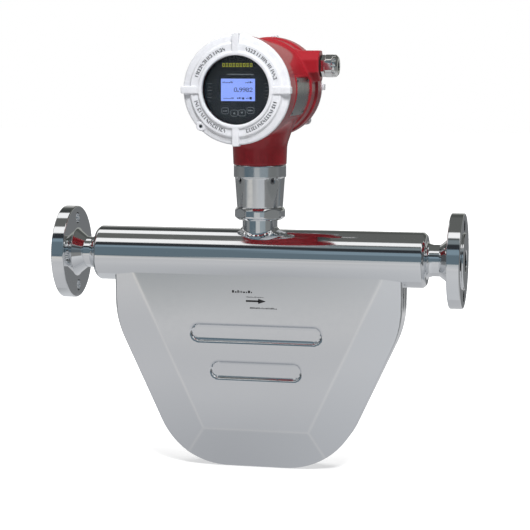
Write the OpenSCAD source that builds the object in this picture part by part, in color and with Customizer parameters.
// Coriolis mass flow meter, compact version: a flanged sensor with two bent
// measuring tubes in a welded housing, and a field transmitter on its neck.
// X runs along the pipe with the flow, Y from front to back, Z up.
// The origin is the middle of the flat base on which the sensor housing stands.

/* [Process connection] */
// Distance between the two sealing faces
face_to_face = 505; // [490:1:540]
// Height of the pipe axis above the base
pipe_z = 260; // [254:1:280]
// Outside diameter of the flanges
flange_d = 115; // [108:1:125]
// Thickness of a flange without its raised face
flange_t = 16; // [12:0.5:20]
// Diameter of the raised sealing face
raised_face_d = 68; // [60:1:70]
// Height of the raised sealing face
raised_face_h = 2; // [1:0.5:3]
// Diameter of the bolt circle
bolt_circle_d = 85; // [82:1:92]
// Diameter of a bolt hole
bolt_hole_d = 14; // [11:0.5:15]
// Number of bolt holes in a flange
bolt_count = 4; // [4:4:8]
// Bore of the process pipe
bore_d = 26; // [20:1:28]
// Diameter of the flange hub where it leaves the flange
hub_d = 58.6; // [50:0.2:62]
// Length of the tapered flange hub
hub_l = 12.5; // [8:0.5:14]
// Outside diameter of the short pipe between hub and sensor
neck_pipe_d = 38.4; // [34:0.2:42]

/* [Support tube] */
// Outside diameter of the support tube
tube_d = 67.2; // [64:0.2:72]
// Wall of the support tube
tube_wall = 3; // [2:0.5:4]
// Distance from a sealing face back to the end of the support tube
tube_setback = 52.5; // [50:0.5:56]
// Length of the rounded shoulder at each end of the support tube
shoulder_l = 8; // [5:0.5:10]
// Diameter at the small end of that shoulder
shoulder_d = 48; // [44:1:54]
// Length of the flow splitter inside each end of the support tube
splitter_l = 62; // [56:1:70]

/* [Sensor housing] */
// Depth of the housing between its two flat faces
housing_depth = 52; // [50:1:56]
// Depth of the housing at its rim
rim_depth = 41; // [38:1:44]
// Sheet thickness of the two half shells
shell_wall = 2; // [1.5:0.5:2.5]
// Distance from a sealing face back to the housing's rim
housing_setback = 73.2; // [68:0.1:78]
// Height at which the lines of the slanted and the upright side cross
side_cross_z = 178.6; // [168:0.1:190]
// Angle of the slanted sides from upright
side_lean = 25; // [22:0.5:27]
// Radius of the two lower corners
low_corner_r = 95; // [80:1:100]
// Radius where a slanted side turns upright
side_corner_r = 110; // [80:1:130]
// Width of the bevel around the flat face
bevel_w = 47; // [40:1:52]
// Length of the upper pressed recess
upper_recess_l = 165; // [140:1:175]
// Height of the upper recess's middle line
upper_recess_z = 167; // [164:1:172]
// Length of the lower pressed recess
lower_recess_l = 115; // [90:1:120]
// Height of the lower recess's middle line
lower_recess_z = 121; // [118:1:126]
// Height of both recesses
recess_h = 22.5; // [18:0.5:26]
// Depth of both recesses
recess_depth = 3.5; // [2.5:0.5:4]
// Diameter of the purge hole in the rim
purge_d = 6; // [4:0.5:8]

/* [Measuring tubes] */
// Outside diameter of a measuring tube
measuring_d = 14; // [12:0.5:15]
// Wall of a measuring tube
measuring_wall = 1; // [0.8:0.1:1.5]
// Distance between the two measuring tubes, middle to middle
measuring_pitch = 24; // [22:0.5:26]
// Distance from the housing's outer surface to the tube's middle line
measuring_inset = 24; // [20:0.5:28]
// Height of the two pickoffs
pickoff_z = 110; // [95:1:125]
// Outside diameter of the coils
coil_d = 14; // [12:0.5:16]
// Diameter of the magnets
magnet_d = 7; // [5:0.5:8]
// Distance from the tube's middle line to the coil's axis
coil_reach = 18; // [16:0.5:22]
// Thickness of a brace plate
brace_t = 2; // [1.5:0.5:3]

/* [Neck] */
// Outside diameter of the neck tube
neck_d = 43; // [40:0.5:46]
// Inside diameter of the neck tube
neck_bore_d = 36; // [30:0.5:37]
// Height of the neck nut's lower face above the pipe axis
neck_nut_rise = 45.5; // [44:0.5:47]
// Height of the neck nut
neck_nut_h = 15.3; // [12:0.1:16]
// Diameter of the neck nut
neck_nut_d = 61.6; // [58:0.2:66]
// Height of the tapered part of the adapter
adapter_taper_h = 37; // [34:0.5:40]
// Height of the round band at the top of the adapter
adapter_band_h = 14.8; // [12:0.2:16]
// Diameter of that band
adapter_band_d = 64; // [62:0.5:68]
// Diameter at the foot of the adapter
adapter_foot_d = 56; // [54:0.5:58]
// Diameter at the top of the adapter's taper
adapter_top_d = 61; // [59:0.5:62]
// Diameter of the adapter's socket
socket_d = 48; // [44:0.5:50]
// Depth of the adapter's socket
socket_depth = 33; // [28:1:34]
// Gap between the turning head and the adapter
swivel_gap = 0.4; // [0.3:0.1:1]
// Diameter of the four clamping screws in the adapter
clamp_screw_d = 6; // [5:0.5:7]
// Distance between two opposite flats of adapter and nut
flats_w = 57.2; // [54:0.2:58]
// Radial clearance of turning fits
run_clearance = 0.08; // [0.05:0.01:0.1]

/* [Transmitter housing] */
// Height of the head's axis above the pipe axis
head_rise = 205.5; // [203:0.5:210]
// Distance from the neck's axis to the front mouth
front_mouth = 118; // [112:1:124]
// Distance from the neck's axis to the rear mouth
rear_mouth = 78; // [74:1:84]
// Diameter of the barrel between the flange rings
barrel_d = 114; // [110:0.5:118]
// Wall of the barrel
barrel_wall = 5; // [4:0.5:6]
// Radial step from a compartment to the thread in its mouth
thread_step = 2; // [1.5:0.5:3]
// Wall of the flange rings around the thread
ring_wall = 8; // [7:0.5:9]
// Width of the front ring
front_ring_w = 33; // [28:1:36]
// Width of the rear ring
rear_ring_w = 28; // [24:1:30]
// Length of the thread in both mouths
thread_l = 14; // [12:0.5:16]
// Distance from the neck's axis to the partition's front side
partition_y = 8; // [4:1:10]
// Thickness of the partition
partition_t = 6; // [4:0.5:8]
// Diameter of the head's neck at its foot
head_neck_d = 65; // [64:0.5:68]
// Distance across the flats of the conduit boss
boss_w = 37.5; // [34:0.5:40]
// Distance from the neck's axis to the boss's end face
boss_reach = 69; // [66:0.5:72]
// Place of the conduit axis behind the neck's axis
conduit_y = 34; // [32:0.5:36]
// Height of the conduit axis above the head's axis
conduit_rise = 26.5; // [24:0.5:28]
// Diameter of the conduit thread
conduit_d = 20; // [18:0.5:22]

/* [Covers] */
// How far the front cover reaches out past the flange ring
front_cover_lap = 0.9; // [0.5:0.1:2]
// How far the rear cover stays inside the flange ring's edge
rear_cover_inset = 0.5; // [0:0.1:1]
// Thickness of both covers outside the housing
cover_t = 12.6; // [11:0.1:14]
// Gap between a tightened cover and the housing
cover_gap = 0.4; // [0.3:0.1:0.8]
// Width of the sloping band around a cover
cover_band_w = 8.9; // [7:0.1:10]
// Length of a cover's thread
cover_thread_l = 12; // [10:0.5:13]
// Width of the four grip ribs
rib_w = 8; // [6:0.5:10]
// How far the ribs reach out past the flange ring
rib_lap = 2.3; // [1.5:0.1:3]
// Wall of the threaded skirt around the window glass
skirt_wall = 7.22; // [6.5:0.01:8]
// Width of the ring that holds the window glass
window_ring_w = 5.2; // [4.5:0.1:6]
// How far the window's rim covers the inside of that ring
window_lip = 2; // [1.5:0.1:2.5]
// Thickness of the window glass
glass_t = 6; // [4:0.5:8]
// Depth of the glass behind the cover's face
glass_depth = 6.5; // [5:0.5:7]
// Distance from the flange ring's edge in to a cover's lock screw
lock_inset = 3; // [2:0.5:4]
// Diameter of a lock screw
lock_screw_d = 4.4; // [4:0.2:6]
// Diameter of the lug around a lock screw
lock_lug_d = 11; // [10:0.5:12]

/* [Display] */
// Radial gap around the display's dark face
display_gap = 1.5; // [1:0.5:3]
// Distance from the cover's face to the display glass
display_depth = 15.6; // [15:0.1:17]
// Width and height of the display glass
display_w = 40; // [36:0.5:44]
// Height of the display glass
display_h = 25.6; // [22:0.2:28]

/* [Cable gland] */
// Distance across the corners of the gland's hexagon
gland_hex_d = 27; // [25:0.5:29]
// Diameter of the gland nut
gland_nut_d = 27.6; // [26:0.2:30]
// Length of the gland nut
gland_nut_l = 16; // [14:0.5:18]
// Diameter of the cable hole
cable_d = 12; // [8:0.5:13]
// Thickness of the sealing washer
washer_t = 1.5; // [1:0.1:2]

/* [Hidden] */
$fn = 64;
eps = 0.5;

// Pipe side
half_length = face_to_face / 2;
flange_back = half_length - raised_face_h - flange_t;
hub_end = flange_back - hub_l;
tube_end = half_length - tube_setback;
tube_in_d = tube_d - 2 * tube_wall;
splitter_end = tube_end - splitter_l;
splitter_clear = 0.2;

// Sensor housing: half its width at the top, and at the base where its edge lines cross
top_half_w = half_length - housing_setback;
base_half_w = top_half_w - side_cross_z * tan(side_lean);
face_y = housing_depth / 2;
rim_y = rim_depth / 2;
bevel_a = atan((face_y - rim_y) / bevel_w);
recess_draft = 1;
purge_z = pipe_z - 43;
purge_y = -9.3;

// Measuring tubes
measuring_y = measuring_pitch / 2;
measuring_r = measuring_d / 2;
leg_x = top_half_w - measuring_inset;
leg_top_z = pipe_z - 8;
coil_hole_d = magnet_d + 1;
magnet_l = 13;
bracket_t = 8;
bracket_w = 18;

// Neck and swivel
neck_nut_z = pipe_z + neck_nut_rise;
adapter_z = neck_nut_z + neck_nut_h;
neck_top_z = adapter_z + 9;
neck_feed_z = pipe_z + 38;
feed_t = 6;
band_z = adapter_z + adapter_taper_h;
adapter_top_z = band_z + adapter_band_h;
head_foot_z = adapter_top_z + swivel_gap;
spigot_d = socket_d - 2 * run_clearance;
spigot_end_z = head_foot_z - socket_depth + 1;
clamp_z = band_z - 3.5;
clamp_groove_d = spigot_d - 3;
clamp_groove_h = clamp_screw_d + 2;

// Head
head_z = pipe_z + head_rise;
head_floor_drop = 45;
head_floor_z = head_z - head_floor_drop;
partition_back = partition_y + partition_t;
rear_step_y = rear_mouth - rear_ring_w;
barrel_r = barrel_d / 2;
compartment_d = barrel_d - 2 * barrel_wall;
thread_d = compartment_d + 2 * thread_step;
ring_r = thread_d / 2 + ring_wall;
plate_front_reach = 57;
plate_rear_reach = 16;
plate_y0 = -plate_front_reach;
plate_y1 = plate_rear_reach;
plate_t = 0.8;
plate_gap = 0.2;
plate_low_angle = -13;
plate_high_angle = 34;
rivet_inset = 4;
rivet_d = 1.6;
rivet_head_d = 3.2;
display_y = -(front_mouth + cover_gap + cover_t - display_depth);
board_gap = 6;
board_d = compartment_d - 2 * board_gap;
board_unit = board_d / 46;
board_t = 1.6;
power_board_reach = 42;
main_board_reach = 66;
power_board_y = partition_y - power_board_reach;
main_board_y = partition_y - main_board_reach;
feed_pin_rise = 20;
feed_pin_z = head_z + feed_pin_rise;
feed_pin_r = 10;

// Terminals
terminals = 8;
terminal_pitch = 8.5;
block_w = terminals * terminal_pitch;
block_h = 22;
block_t = 20;
block_drop = 26;
block_z = head_z - block_drop;
terminal_z = block_z + 14;
spacer_inset = 10;
spacer_r = board_d / 2 - spacer_inset;
board_hole_r = 1.6;
glass_block_t = 3.2;
cup_l = 28.2;
cup_back_y = display_y + glass_block_t + cup_l;
cup_wall = 2;
cup_screw_r = 16;
conduit_z = head_z + conduit_rise;

// Covers
cover_out = cover_gap + cover_t;
seal_r = 1.1;
seal_groove_w = 2 * seal_r + 0.2;
cover_thread_d = thread_d - 2 * run_clearance;
glass_clear = 0.2;
cover_seat_d = cover_thread_d - 2 * skirt_wall;
glass_d = cover_seat_d - 2 * glass_clear;
window_ring_in_d = cover_seat_d - 2 * window_ring_w;
window_d = window_ring_in_d - 2 * window_lip;
display_d = window_ring_in_d - 2 * display_gap;
gasket_in_d = window_d + window_lip;
front_cover_d = 2 * (ring_r + front_cover_lap);
rear_cover_d = 2 * (ring_r - rear_cover_inset);
cover_ring_d = front_cover_d - 2 * cover_band_w;
rib_reach = ring_r + rib_lap;
lock_reach = ring_r - lock_inset;
seat_z = cover_out - glass_depth;
gasket_t = 0.5;
lip_w = 4;
face_recess = 2.4;
window_ring_t = 3.6;
lock_a = 225;

// Gland
gland_x = boss_reach + washer_t;
gland_hex_l = 4;
gland_thread_d = 22;
gland_thread_l = 11;
gland_seal_t = 2.2;
gland_nut_x = gland_x + gland_hex_l + 0.5;
gland_seal_x = gland_x + gland_hex_l + gland_thread_l + 0.3;

steel = [0.80, 0.82, 0.84];
polished = [0.86, 0.88, 0.90];
sheet = [0.70, 0.72, 0.74];
red = [0.62, 0.05, 0.07];
white = [0.92, 0.93, 0.95];
dark = [0.12, 0.13, 0.14];
board_green = [0.05, 0.35, 0.18];
copper = [0.72, 0.42, 0.20];
seal_black = [0.06, 0.06, 0.06];
screen_blue = [0.45, 0.55, 0.95];

// ---- Helpers ----

// Points of an arc about c from angle a0 to a1; an odd n keeps them off the mitre between two bevels
function arc(c, r, a0, a1, n = 15) =
    [for (i = [0:n]) c + r * [cos(a0 + (a1 - a0) * i / n), sin(a0 + (a1 - a0) * i / n)]];

// Where the base line and the slanted side cross, at an inset from the outline
function base_cross(i) = [base_half_w - i * (1 - sin(side_lean)) / cos(side_lean), i];
// Where the slanted side and the upright side cross
function side_cross(i) =
    [top_half_w - i, ((top_half_w - i - base_half_w) * cos(side_lean) + i) / sin(side_lean)];
// Middles of the two rounded corners
function low_centre(i) = base_cross(i)
    + (low_corner_r - i) * [-tan((90 - side_lean) / 2), 1];
function side_centre(i) = side_cross(i)
    + (side_corner_r - i) * [-1, tan(side_lean / 2)];

// Right half of the housing's outline, from the base to the pipe axis
function right_side(i) = concat(
    arc(low_centre(i), low_corner_r - i, -90, -side_lean),
    arc(side_centre(i), side_corner_r - i, -side_lean, 0),
    [[top_half_w - i, pipe_z]]);

function outline(i) = let (half = right_side(i), n = len(half)) concat(
    half, [for (k = [0:n - 1]) [-half[n - 1 - k][0], half[n - 1 - k][1]]]);

// Turns a profile of radius and distance about the X axis through the pipe
module about_pipe() {
    translate([0, 0, pipe_z]) rotate([0, 90, 0]) rotate_extrude() children();
}

// Turns a profile of radius and distance about the head's axis
module about_head(angle = 360, start = 0) {
    translate([0, 0, head_z]) rotate([-90, 0, 0]) rotate([0, 0, start])
        rotate_extrude(angle = angle) children();
}

// Straight rod in the plane at y, between points given as [x, z]; lap lets it run into its neighbours
module rod(y, p, q, r, lap = 0) {
    d = q - p;
    translate([p[0], y, p[1]]) rotate([0, atan2(d[0], d[1]), 0]) translate([0, 0, -lap])
        cylinder(h = norm(d) + 2 * lap, r = r);
}

// Bend in the plane at y, about the middle c given as [x, z]
module bend(y, c, turn_r, a0, a1, r) {
    translate([c[0], y, c[1]]) rotate([90, 0, 0]) rotate([0, 0, a0])
        rotate_extrude(angle = a1 - a0) translate([turn_r, 0]) circle(r);
}

// Cylinder along Y from y0 to y1
module pin_y(x, z, y0, y1, r) {
    translate([x, y0, z]) rotate([-90, 0, 0]) cylinder(h = y1 - y0, r = r);
}

// Cylinder along X from x0 to x1
module pin_x(y, z, x0, x1, r) {
    translate([x0, y, z]) rotate([0, 90, 0]) cylinder(h = x1 - x0, r = r);
}

// Hexagon socket for a screw, cut along +Z
module hex_socket(w, depth) {
    translate([0, 0, -depth]) cylinder(h = depth + eps, d = w / cos(30), $fn = 6);
}

// ---- Process connection ----

module flange() {
    color(polished) difference() {
        about_pipe() polygon([
            [0, hub_end], [neck_pipe_d / 2, hub_end], [hub_d / 2, flange_back],
            [flange_d / 2 - 1, flange_back], [flange_d / 2, flange_back + 1],
            [flange_d / 2, flange_back + flange_t - 1], [flange_d / 2 - 1, flange_back + flange_t],
            [raised_face_d / 2, flange_back + flange_t], [raised_face_d / 2, half_length],
            [0, half_length]]);
        pin_x(0, pipe_z, hub_end - eps, half_length + eps, bore_d / 2);
        for (k = [0:bolt_count - 1])
            translate([flange_back - eps, 0, pipe_z]) rotate([k * 360 / bolt_count, 0, 0])
                translate([0, 0, bolt_circle_d / 2]) rotate([0, 90, 0])
                    cylinder(h = flange_t + 2 * eps, d = bolt_hole_d);
    }
}

// Cast end piece: short pipe, shoulder and the splitter inside the support tube
module manifold() {
    flare_x = tube_end + shoulder_l;
    flare_r = hub_end - flare_x;
    color(polished) difference() {
        about_pipe() polygon(concat(
            [[0, splitter_end], [tube_in_d / 2 - splitter_clear, splitter_end],
             [tube_in_d / 2 - splitter_clear, tube_end], [tube_d / 2, tube_end],
             [tube_d / 2 - 1.5, tube_end + 1.5]],
            [for (a = [0:10:90]) [
                neck_pipe_d / 2 + (shoulder_d - neck_pipe_d) / 2 * (1 - sin(a)),
                flare_x - 1.5 + (flare_r - 5) * (1 - cos(a)) ]],
            [[neck_pipe_d / 2, hub_end], [0, hub_end]]));
        pin_x(0, pipe_z, leg_x - measuring_r, hub_end + eps, bore_d / 2);
        for (s = [-1, 1])
            rod(s * measuring_y, [leg_x, pipe_z - tube_d], [leg_x, leg_top_z], measuring_r);
        for (s = [-1, 1])
            rod(s * measuring_y, [leg_x, leg_top_z - eps], [leg_x, pipe_z],
                measuring_r - measuring_wall);
    }
}

module inlet_flange() mirror([1, 0, 0]) flange();
module outlet_flange() flange();
module inlet_manifold() mirror([1, 0, 0]) manifold();
module outlet_manifold() manifold();

module support_tube() {
    slot = measuring_d + 8;
    color(polished) difference() {
        pin_x(0, pipe_z, -tube_end, tube_end, tube_d / 2);
        pin_x(0, pipe_z, -tube_end - eps, tube_end + eps, tube_in_d / 2);
        for (s = [-1, 1])
            translate([s * leg_x - slot / 2, -measuring_y - slot / 2 + 2, pipe_z - tube_d])
                cube([slot, 2 * measuring_y + slot - 4, tube_d]);
        translate([0, 0, pipe_z - tube_d]) cylinder(h = tube_d, d = 12);
        translate([0, 0, pipe_z]) cylinder(h = tube_d, d = neck_bore_d);
    }
}

// ---- Measuring tubes and their sensors ----

// The straights run a little into the bends, which are a hair thinner
module tube_run(y, r, overrun) {
    lap = 0.5;
    bend_r = r - 0.02;
    lc = low_centre(measuring_inset);
    sc = side_centre(measuring_inset);
    lr = low_corner_r - measuring_inset;
    sr = side_corner_r - measuring_inset;
    out = [cos(side_lean), -sin(side_lean)];
    rod(y, [-lc[0], measuring_inset], [lc[0], measuring_inset], r, lap);
    for (m = [0, 1]) mirror([m, 0, 0]) {
        bend(y, lc, lr, -90, -side_lean, bend_r);
        rod(y, lc + lr * out, sc + sr * out, r, lap);
        bend(y, sc, sr, -side_lean, 0, bend_r);
        rod(y, sc + [sr, -lap], [leg_x, leg_top_z + overrun], r);
    }
}

module measuring_tube(y) {
    color(steel) difference() {
        tube_run(y, measuring_r, 0);
        tube_run(y, measuring_r - measuring_wall, eps);
    }
}

module front_measuring_tube() measuring_tube(-measuring_y);
module rear_measuring_tube() measuring_tube(measuring_y);

module brace_plates() {
    leg_foot_z = side_centre(measuring_inset)[1];
    edge = measuring_r + 2.5;
    color(steel) for (z = [leg_foot_z + 3, leg_foot_z + 13])
        difference() {
            translate([leg_x - edge, -measuring_y - edge, z])
                cube([2 * edge, 2 * (measuring_y + edge), brace_t]);
            for (s = [-1, 1])
                rod(s * measuring_y, [leg_x, z - eps], [leg_x, z + brace_t + eps], measuring_r);
        }
}

module inlet_brace_plates() mirror([1, 0, 0]) brace_plates();
module outlet_brace_plates() brace_plates();

// Moves to the sensor at the drive (0), the inlet pickoff (-1) or the outlet pickoff (1):
// local X then runs along the tube and local Z points into the housing
module at_sensor(side) {
    if (side == 0) translate([0, 0, measuring_inset]) children();
    else {
        x = base_half_w + (pickoff_z * sin(side_lean) - measuring_inset) / cos(side_lean);
        translate([side * x, 0, pickoff_z]) rotate([0, side * (side_lean - 90), 0]) children();
    }
}

module coil(side) {
    color(copper) at_sensor(side) difference() {
        union() {
            pin_y(0, coil_reach, -bracket_t, 0.5, coil_d / 2);
            pin_y(0, coil_reach, -bracket_t, 1 - bracket_t, coil_d / 2 + 1.2);
            pin_y(0, coil_reach, -0.5, 0.5, coil_d / 2 + 1.2);
        }
        pin_y(0, coil_reach, -bracket_t - eps, 1, coil_hole_d / 2);
    }
}

module magnet(side) {
    color(steel) at_sensor(side) union() {
        pin_y(0, coil_reach, bracket_t - magnet_l, bracket_t, magnet_d / 2);
        pin_y(0, coil_reach, bracket_t - 2, bracket_t, magnet_d / 2 + 1.5);
    }
}

module bracket(side, y0) {
    color(sheet) at_sensor(side) difference() {
        translate([-bracket_w / 2, y0, 3]) cube([bracket_w, bracket_t, coil_reach + coil_d / 2]);
        pin_x(sign(y0 + bracket_t / 2) * measuring_y, 0, -10, 10, measuring_r);
    }
}

module drive_coil() coil(0);
module drive_magnet() magnet(0);
module inlet_pickoff_coil() coil(-1);
module inlet_pickoff_magnet() magnet(-1);
module outlet_pickoff_coil() coil(1);
module outlet_pickoff_magnet() magnet(1);
module coil_brackets() for (side = [-1, 0, 1]) bracket(side, -2 * bracket_t);
module magnet_brackets() for (side = [-1, 0, 1]) bracket(side, bracket_t);

module temperature_sensor() {
    probe_r = 2.5;
    probe_l = 22;
    probe_x = coil_reach + coil_d / 2 + 5;
    color(steel) at_sensor(-1)
        pin_x(-measuring_y, -measuring_r - probe_r, probe_x, probe_x + probe_l, probe_r);
}

// Wires from the coils to the glass feedthrough, laid as one stiff harness
module sensor_wiring() {
    top_z = neck_feed_z - 6;
    low_z = measuring_inset + coil_reach + coil_d / 2 + 1.4;
    branch_z = pickoff_z + 30;
    x = base_half_w + (pickoff_z * sin(side_lean) - measuring_inset) / cos(side_lean);
    reach = coil_reach + coil_d / 2 + 1.5;
    tip = [x - reach * cos(side_lean), pickoff_z + reach * sin(side_lean)];
    color(copper) {
        translate([0, 0, low_z]) cylinder(h = top_z - low_z, r = 2);
        for (m = [0, 1]) mirror([m, 0, 0]) rod(0, [0, branch_z], tip, 1.5);
    }
}

// ---- Sensor housing ----

// Cuts the sloping bevel along one edge line: a is the line's turn about Y
module bevel_cut(corner_x, a, inset) {
    reach = 2 * top_half_w;
    translate([corner_x, 0, 0]) rotate([0, a, 0])
        translate([-bevel_w, -face_y + inset / cos(bevel_a), 0]) rotate([0, 0, bevel_a])
            translate([-20, -housing_depth, -reach]) cube([reach, housing_depth, 2 * reach]);
}

// Recess with round ends and sloping walls, grown by the sheet for its inside
module recess(length, z, grow) {
    r = recess_h / 2 + grow;
    run = (length - recess_h) / 2;
    depth = recess_depth + grow;
    floor_r = r - depth * recess_draft;
    mouth_r = r + recess_draft;
    translate([0, -face_y, z]) rotate([-90, 0, 0]) {
        for (s = [-1, 1]) translate([s * run, 0, -1]) cylinder(h = depth + 1, r1 = mouth_r, r2 = floor_r);
        rotate([90, 0, 90]) linear_extrude(height = 2 * run, center = true)
            polygon([[-mouth_r, -1], [mouth_r, -1], [floor_r, depth], [-floor_r, depth]]);
    }
}

// Half of the housing's form, inset from its outside and drawn from past the parting plane
module shell_form(inset, past = 0) {
    difference() {
        translate([0, past, 0]) rotate([90, 0, 0])
            linear_extrude(height = face_y - inset + past) polygon(outline(inset));
        bevel_cut(0, 90, inset);
        for (m = [0, 1]) mirror([m, 0, 0]) bevel_cut(base_half_w, side_lean, inset);
        recess(upper_recess_l, upper_recess_z, inset);
        recess(lower_recess_l, lower_recess_z, inset);
    }
}

module half_shell() {
    difference() {
        shell_form(0);
        shell_form(shell_wall, eps);
        pin_x(0, pipe_z, -top_half_w - 1, top_half_w + 1, tube_d / 2);
    }
}

module front_shell() {
    color(sheet) difference() {
        half_shell();
        pin_x(purge_y, purge_z, top_half_w - 10, top_half_w + 1, purge_d / 2);
    }
}

module rear_shell() color(sheet) mirror([0, 1, 0]) half_shell();

module purge_plug() {
    color(dark) difference() {
        pin_x(purge_y, purge_z, top_half_w - shell_wall - 2, top_half_w, purge_d / 2);
        translate([top_half_w, purge_y, purge_z]) rotate([0, 90, 0]) hex_socket(purge_d / 2, 1.5);
    }
}

// ---- Neck ----

module neck_tube() {
    weld_z = pipe_z + tube_d / 2 * 0.8;
    weld_top = pipe_z + tube_d / 2 + 5;
    color(polished) difference() {
        union() {
            translate([0, 0, pipe_z]) cylinder(h = neck_top_z - pipe_z, d = neck_d);
            translate([0, 0, weld_z])
                cylinder(h = weld_top - weld_z, d1 = neck_d + 14, d2 = neck_d);
        }
        translate([0, 0, pipe_z - eps]) cylinder(h = neck_top_z - pipe_z + 2 * eps, d = neck_bore_d);
        pin_x(0, pipe_z, -neck_d, neck_d, tube_d / 2);
    }
}

module neck_feedthrough() {
    color(dark) union() {
        translate([0, 0, neck_feed_z]) cylinder(h = feed_t, d = neck_bore_d);
        for (k = [0:6]) rotate([0, 0, k * 360 / 7]) translate([9, 0, neck_feed_z - 5])
            cylinder(h = feed_t + 10, r = 0.8);
    }
}

// Four wrench flats at 45 degrees, with round tops
module flats(z0, z1) {
    flat_h = z1 - z0;
    for (k = [0:3]) rotate([0, 0, 45 + 90 * k])
        translate([flats_w / 2, 0, z0]) rotate([90, 0, 90]) linear_extrude(height = 20) {
            translate([-15, -eps]) square([30, flat_h - 11 + eps]);
            translate([0, flat_h - 13]) circle(13);
        }
}

module neck_nut() {
    chamfer = 4;
    color(polished) difference() {
        translate([0, 0, neck_nut_z]) rotate_extrude() polygon([
            [neck_d / 2, 0], [neck_nut_d / 2 - chamfer, 0], [neck_nut_d / 2, chamfer * 0.8],
            [neck_nut_d / 2, neck_nut_h - 3], [neck_nut_d / 2 - 2, neck_nut_h],
            [neck_d / 2, neck_nut_h]]);
        for (k = [0:3]) rotate([0, 0, 45 + 90 * k])
            translate([flats_w / 2, -20, neck_nut_z - eps]) cube([20, 40, neck_nut_h + 2 * eps]);
    }
}

module neck_adapter() {
    socket_z = adapter_top_z - socket_depth;
    color(steel) difference() {
        union() {
            translate([0, 0, adapter_z])
                cylinder(h = adapter_taper_h, d1 = adapter_foot_d, d2 = adapter_top_d);
            translate([0, 0, band_z]) cylinder(h = adapter_band_h, d = adapter_band_d);
        }
        translate([0, 0, adapter_z - eps]) cylinder(h = neck_top_z - adapter_z + eps, d = neck_d);
        translate([0, 0, adapter_z]) cylinder(h = adapter_taper_h, d = neck_bore_d);
        translate([0, 0, socket_z]) cylinder(h = socket_depth + eps, d = socket_d);
        flats(adapter_z, band_z + 0.5);
        for (k = [0:3]) rotate([0, 0, 45 + 90 * k]) translate([0, 0, clamp_z])
            rotate([0, 90, 0]) cylinder(h = adapter_band_d, d = clamp_screw_d);
    }
}

module clamp_screws() {
    tip = clamp_groove_d / 2 + 0.3;
    head = flats_w / 2 - 0.6;
    color(dark) for (k = [0:3]) rotate([0, 0, 45 + 90 * k]) translate([tip, 0, clamp_z])
        rotate([0, 90, 0]) difference() {
            cylinder(h = head - tip, d = clamp_screw_d);
            translate([0, 0, head - tip]) hex_socket(clamp_screw_d / 2, 2.5);
        }
}

// Cable on the swivel axis, from the feedthrough up into the head
module head_cable() {
    foot_z = neck_feed_z + feed_t;
    color(seal_black) translate([0, 0, foot_z]) cylinder(h = head_floor_z + 5 - foot_z, r = 2.5);
}

// ---- Transmitter housing ----

module housing_outside() {
    neck_top = head_z - barrel_r + 5;
    about_head() polygon([
        [0, -front_mouth], [ring_r - 1.5, -front_mouth], [ring_r, -front_mouth + 1.5],
        [ring_r, front_ring_w - front_mouth - 2], [ring_r - 1.5, front_ring_w - front_mouth],
        [barrel_r, front_ring_w - front_mouth + 3],
        [barrel_r, plate_y1 + 3], [ring_r - 2, plate_y1 + 5], [ring_r - 2, rear_step_y - 4],
        [barrel_r + 1, rear_step_y - 3], [barrel_r + 1, rear_step_y],
        [ring_r, rear_step_y + 2], [ring_r, rear_mouth - 1.5], [ring_r - 1.5, rear_mouth],
        [0, rear_mouth]]);
    about_head(plate_high_angle - plate_low_angle + 6, plate_low_angle - 3) polygon([
        [barrel_r - 1, plate_y0 - 3], [barrel_r + 1.2, plate_y0 - 3],
        [barrel_r + 1.2, plate_y1 + 3], [barrel_r - 1, plate_y1 + 3]]);
    translate([0, 0, head_foot_z])
        cylinder(h = neck_top - head_foot_z, d1 = head_neck_d, d2 = head_neck_d + 2.5);
    translate([0, 0, neck_top - 18])
        cylinder(h = 24, d1 = head_neck_d + 1.5, d2 = head_neck_d + 15);
    translate([0, 0, spigot_end_z]) cylinder(h = head_foot_z - spigot_end_z + 1, d = spigot_d);
    translate([boss_reach - 34, conduit_y, conduit_z]) rotate([0, 90, 0]) rotate([0, 0, 22.5])
        cylinder(h = 34, d = boss_w / cos(22.5), $fn = 8);
}

module transmitter_housing() {
    color(red) difference() {
        housing_outside();
        about_head() polygon([
            [0, -front_mouth - eps], [thread_d / 2, -front_mouth - eps],
            [thread_d / 2, thread_l - front_mouth], [compartment_d / 2, thread_l - front_mouth],
            [compartment_d / 2, partition_y], [0, partition_y]]);
        about_head() polygon([
            [0, partition_back], [compartment_d / 2, partition_back],
            [compartment_d / 2, rear_mouth - thread_l], [thread_d / 2, rear_mouth - thread_l],
            [thread_d / 2, rear_mouth + eps], [0, rear_mouth + eps]]);
        about_head(plate_high_angle - plate_low_angle, plate_low_angle) polygon([
            [barrel_r + plate_gap, plate_y0], [barrel_r + 3, plate_y0],
            [barrel_r + 3, plate_y1], [barrel_r + plate_gap, plate_y1]]);
        translate([0, 0, spigot_end_z - eps]) cylinder(h = head_floor_z - spigot_end_z, d = neck_bore_d);
        translate([0, 0, clamp_z - clamp_groove_h / 2]) difference() {
            cylinder(h = clamp_groove_h, d = spigot_d + 1);
            translate([0, 0, -eps]) cylinder(h = clamp_groove_h + 2 * eps, d = clamp_groove_d);
        }
        at_rivets() translate([0, 0, barrel_r - 2.2]) cylinder(h = 4, d = rivet_d + 0.1);
        pin_x(conduit_y, conduit_z, 20, boss_reach + eps, conduit_d / 2);
        pin_y(0, feed_pin_z, partition_y - eps, partition_back + eps, feed_pin_r);
    }
}

// Carries a rivet's own frame, with its axis on Z and its foot on the head's axis, to each corner
module at_rivets() {
    for (a = [plate_low_angle + rivet_inset, plate_high_angle - rivet_inset],
         y = [plate_y0 + rivet_inset, plate_y1 - rivet_inset])
        translate([0, y, head_z]) rotate([0, 90 + a, 0]) children();
}

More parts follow.
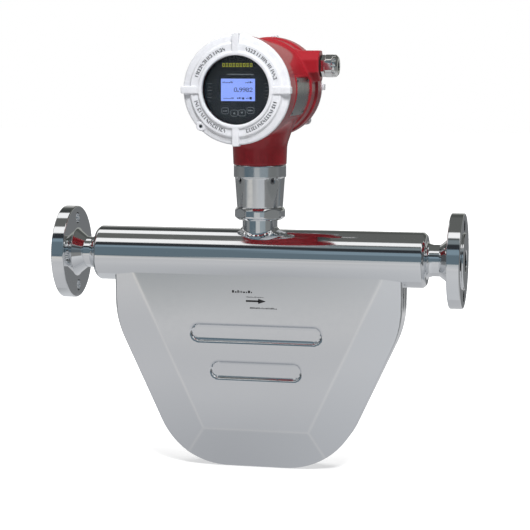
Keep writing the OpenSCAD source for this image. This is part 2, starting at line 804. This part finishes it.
module name_plate() {
    color(sheet) difference() {
        about_head(plate_high_angle - plate_low_angle - 1, plate_low_angle + 0.5) polygon([
            [barrel_r + plate_gap, plate_y0 + 0.5],
            [barrel_r + plate_gap + plate_t, plate_y0 + 0.5],
            [barrel_r + plate_gap + plate_t, plate_y1 - 0.5],
            [barrel_r + plate_gap, plate_y1 - 0.5]]);
        at_rivets() cylinder(h = barrel_r + 5, d = rivet_d + 0.1);
    }
}

module plate_rivets() {
    seat = barrel_r + plate_gap + plate_t + 0.05;
    color(sheet) at_rivets() {
        translate([0, 0, barrel_r - 2]) cylinder(h = seat + 0.5 - barrel_r + 2, d = rivet_d);
        translate([0, 0, seat]) cylinder(h = 1, d1 = rivet_head_d, d2 = 2);
    }
}

module partition_feedthrough() {
    color(dark) union() {
        pin_y(0, feed_pin_z, partition_y, partition_back, feed_pin_r);
        for (x = [-5, 0, 5]) pin_y(x, feed_pin_z, partition_y - 4, partition_back + 4, 0.9);
    }
}

// ---- Electronics ----

// Round board with its front at y; each part on it is given in board units, as its left side, foot,
// width and thickness
module board(y, parts) {
    color(board_green) union() {
        difference() {
            pin_y(0, head_z, y, y + board_t, board_d / 2);
            for (a = [45:90:315])
                pin_y(spacer_r * cos(a), head_z + spacer_r * sin(a), y - eps, y + board_t + eps,
                    board_hole_r);
        }
        for (p = parts * board_unit)
            translate([p[0], y - p[3], head_z + p[1]]) cube([p[2], p[3], p[2] * 0.8]);
    }
}

module power_board() board(power_board_y, [[-9, -5, 8, 4.5], [4, 2, 7, 6], [-6, 7, 5, 3]]);
module main_board() board(main_board_y, [[-7, -4, 9, 1], [5, 4, 4.5, 1], [-10, 7, 4, 2]]);

module board_spacers() {
    stages = [[power_board_y + board_t, partition_y], [main_board_y + board_t, power_board_y],
              [cup_back_y, main_board_y]];
    color(copper) for (a = [45:90:315], s = stages)
        translate([spacer_r * cos(a), s[0], head_z + spacer_r * sin(a)]) rotate([-90, 0, 0])
            cylinder(h = s[1] - s[0], r = 3, $fn = 6);
}

// Screws that hold the display cup on the front spacers, seen inside the cup
module board_screws() {
    color(steel) for (a = [45:90:315])
        pin_y(cup_screw_r * cos(a), head_z + cup_screw_r * sin(a),
            cup_back_y - cup_wall - 2, cup_back_y - cup_wall, 2.6);
}

module display_cup() {
    front_y = display_y + glass_block_t;
    color(dark) difference() {
        pin_y(0, head_z, front_y, cup_back_y, display_d / 2 - 1);
        pin_y(0, head_z, front_y - eps, cup_back_y - cup_wall, display_d / 2 - 1 - cup_wall);
    }
}

module display_face() {
    color(dark) difference() {
        pin_y(0, head_z, display_y + 0.8, display_y + glass_block_t, display_d / 2);
        translate([-display_w / 2, display_y, head_z - display_h / 2])
            cube([display_w, 10, display_h]);
    }
}

module display_glass() {
    color(screen_blue) translate([-display_w / 2, display_y, head_z - display_h / 2])
        cube([display_w, glass_block_t, display_h]);
}

function terminal_x(k) = (k + 0.5) * terminal_pitch - block_w / 2;

// Block with a screw well and a wire entry from below for each terminal
module terminal_block() {
    color(dark) difference() {
        translate([-block_w / 2, partition_back, block_z]) cube([block_w, block_t, block_h]);
        for (k = [0:terminals - 1]) {
            pin_y(terminal_x(k), terminal_z, partition_back + block_t / 2,
                partition_back + block_t + eps, 3);
            translate([terminal_x(k) - 2.5, partition_back + 4, block_z - eps]) cube([5, 8, 8]);
        }
    }
}

module terminal_screws() {
    color(steel) for (k = [0:terminals - 1]) difference() {
        pin_y(terminal_x(k), terminal_z, partition_back + block_t / 2,
            partition_back + block_t - 3, 2.8);
        translate([terminal_x(k) - 3, partition_back + block_t - 4, terminal_z - 0.4])
            cube([6, 2, 0.8]);
    }
}

module ground_screw() {
    color(steel) union() {
        pin_y(-block_w / 2 + 2, head_z + 22, partition_back, partition_back + 3, 4.5);
        pin_y(-block_w / 2 + 2, head_z + 22, partition_back + 3, partition_back + 7, 3);
    }
}

// ---- Cable gland ----

module along_conduit() {
    translate([0, conduit_y, conduit_z]) rotate([0, 90, 0]) children();
}

module gland_washer() {
    color(seal_black) along_conduit() difference() {
        translate([0, 0, boss_reach]) cylinder(h = washer_t, d = gland_hex_d - 1);
        translate([0, 0, boss_reach - eps]) cylinder(h = washer_t + 2 * eps, d = conduit_d);
    }
}

module gland_body() {
    color(steel) along_conduit() difference() {
        union() {
            translate([0, 0, gland_x - 14]) cylinder(h = 14, d = conduit_d);
            translate([0, 0, gland_x]) cylinder(h = gland_hex_l, d = gland_hex_d, $fn = 6);
            translate([0, 0, gland_x]) cylinder(h = gland_hex_l + gland_thread_l, d = gland_thread_d);
        }
        translate([0, 0, gland_x - 15]) cylinder(h = 40, d = cable_d + 2);
    }
}

module gland_seal() {
    color(seal_black) along_conduit() difference() {
        translate([0, 0, gland_seal_x]) cylinder(h = gland_seal_t, d = gland_thread_d - 1);
        translate([0, 0, gland_seal_x - eps]) cylinder(h = gland_seal_t + 2 * eps, d = cable_d);
    }
}

module gland_nut() {
    end = gland_nut_l;
    bore = gland_thread_d + 2 * run_clearance;
    shelf = gland_seal_x + gland_seal_t + 0.3 - gland_nut_x;
    color(polished) along_conduit() translate([0, 0, gland_nut_x]) difference() {
        rotate_extrude() polygon([
            [cable_d / 2, shelf], [bore / 2, shelf], [bore / 2, 0], [gland_nut_d / 2 - 1, 0],
            [gland_nut_d / 2, 1], [gland_nut_d / 2, end - 4], [gland_nut_d / 2 - 1.2, end - 1.5],
            [gland_nut_d / 2 - 3.5, end], [cable_d / 2, end]]);
        for (k = [0:11]) rotate([0, 0, 30 * k]) translate([gland_nut_d / 2 + 0.9, 0, end - 7])
            cylinder(h = 8, r = 2);
        for (k = [0:5]) rotate([0, 0, 60 * k]) translate([gland_nut_d / 2 - 0.9, -10, -eps])
            cube([5, 20, end - 7 + eps]);
    }
}

// ---- Covers ----

// Outside of a cover in its own frame: its axis is Z, z = 0 is the housing's mouth
module cover_blank(rim_d) {
    ring_r2 = cover_ring_d / 2;
    rim_r = rim_d / 2;
    lip_r = window_d / 2 + lip_w;
    difference() {
        union() {
            rotate_extrude() polygon([
                [0, -cover_thread_l], [cover_thread_d / 2 - 1, -cover_thread_l],
                [cover_thread_d / 2, 1 - cover_thread_l],
                [cover_thread_d / 2, cover_gap],
                [rim_r - 0.8, cover_gap], [rim_r, cover_gap + 0.8],
                [rim_r, cover_out - 7], [rim_r - 1, cover_out - 6],
                [ring_r2 + 0.8, cover_out - 4.4], [ring_r2 - 0.2, cover_out - face_recess - 0.2],
                [ring_r2 - 1.4, cover_out - face_recess], [lip_r + 0.8, cover_out - face_recess],
                [lip_r, cover_out - 0.6], [lip_r - 0.6, cover_out], [0, cover_out]]);
            for (k = [0:3]) rotate([0, 0, 90 * k])
                translate([lip_r - 1, -rib_w / 2, cover_gap + 0.6])
                    cube([rib_reach - lip_r + 1, rib_w, cover_t - 0.8]);
            rotate([0, 0, lock_a]) translate([lock_reach, 0, cover_gap])
                cylinder(h = cover_t - 4, d = lock_lug_d);
        }
        rotate([0, 0, lock_a]) translate([lock_reach, 0, -eps]) cylinder(h = cover_out + 1, d = lock_screw_d);
        translate([0, 0, cover_gap - seal_groove_w]) difference() {
            cylinder(h = seal_groove_w, d = thread_d + 1);
            translate([0, 0, -eps])
                cylinder(h = seal_groove_w + 2 * eps, d = thread_d - 4 * seal_r - 0.8);
        }
    }
}

// Carries a cover's own frame to the front mouth, with X kept and Y turned up
module at_front() translate([0, -front_mouth, head_z]) rotate([90, 0, 0]) children();
// Carries it to the rear mouth
module at_rear() translate([0, rear_mouth, head_z]) rotate([-90, 0, 0]) rotate([0, 0, 180]) children();

module o_ring() {
    color(seal_black) translate([0, 0, cover_gap - seal_groove_w / 2])
        rotate_extrude() translate([thread_d / 2 - seal_r - 0.2, 0]) circle(seal_r, $fn = 24);
}

module front_cover() {
    color(white) at_front() difference() {
        cover_blank(front_cover_d);
        translate([0, 0, -cover_thread_l - eps])
            cylinder(h = cover_thread_l + cover_out + 2 * eps, d = window_d);
        translate([0, 0, -cover_thread_l - eps])
            cylinder(h = seat_z + cover_thread_l + eps, d = cover_seat_d);
    }
}

module window_gasket() {
    color(seal_black) at_front() translate([0, 0, seat_z - gasket_t]) difference() {
        cylinder(h = gasket_t, d = glass_d);
        translate([0, 0, -eps]) cylinder(h = gasket_t + 2 * eps, d = gasket_in_d);
    }
}

module window_glass() {
    color([0.8, 0.9, 0.95, 0.3]) at_front() translate([0, 0, seat_z - gasket_t - glass_t])
        cylinder(h = glass_t, d = glass_d);
}

module window_ring() {
    color(dark) at_front() translate([0, 0, seat_z - gasket_t - glass_t - window_ring_t]) difference() {
        cylinder(h = window_ring_t, d = cover_seat_d);
        translate([0, 0, -eps]) cylinder(h = window_ring_t + 2 * eps, d = window_ring_in_d);
    }
}

module rear_cover() {
    color(white) at_rear() difference() {
        cover_blank(rear_cover_d);
        translate([0, 0, -cover_thread_l - eps])
            cylinder(h = cover_thread_l + cover_out - 5, d = thread_d - 16);
    }
}

module lock_screw() {
    color(dark) rotate([0, 0, lock_a]) translate([lock_reach, 0, cover_gap + 0.2]) difference() {
        cylinder(h = cover_t - 5.5, d = lock_screw_d);
        translate([0, 0, cover_t - 5.5]) hex_socket(lock_screw_d / 2, 2.5);
    }
}

module front_o_ring() at_front() o_ring();
module rear_o_ring() at_rear() o_ring();
module front_lock_screw() at_front() lock_screw();
module rear_lock_screw() at_rear() lock_screw();

// ---- Drawing ----

inlet_flange();
outlet_flange();
support_tube();
inlet_manifold();
outlet_manifold();
front_measuring_tube();
rear_measuring_tube();
inlet_brace_plates();
outlet_brace_plates();
drive_coil();
drive_magnet();
inlet_pickoff_coil();
inlet_pickoff_magnet();
outlet_pickoff_coil();
outlet_pickoff_magnet();
coil_brackets();
magnet_brackets();
temperature_sensor();
sensor_wiring();
front_shell();
rear_shell();
purge_plug();
neck_tube();
neck_feedthrough();
neck_nut();
neck_adapter();
clamp_screws();
head_cable();
transmitter_housing();
name_plate();
plate_rivets();
partition_feedthrough();
power_board();
main_board();
board_spacers();
board_screws();
display_cup();
display_face();
display_glass();
terminal_block();
terminal_screws();
ground_screw();
gland_washer();
gland_body();
gland_seal();
gland_nut();
front_o_ring();
front_cover();
window_gasket();
window_glass();
window_ring();
front_lock_screw();
rear_o_ring();
rear_cover();
rear_lock_screw();
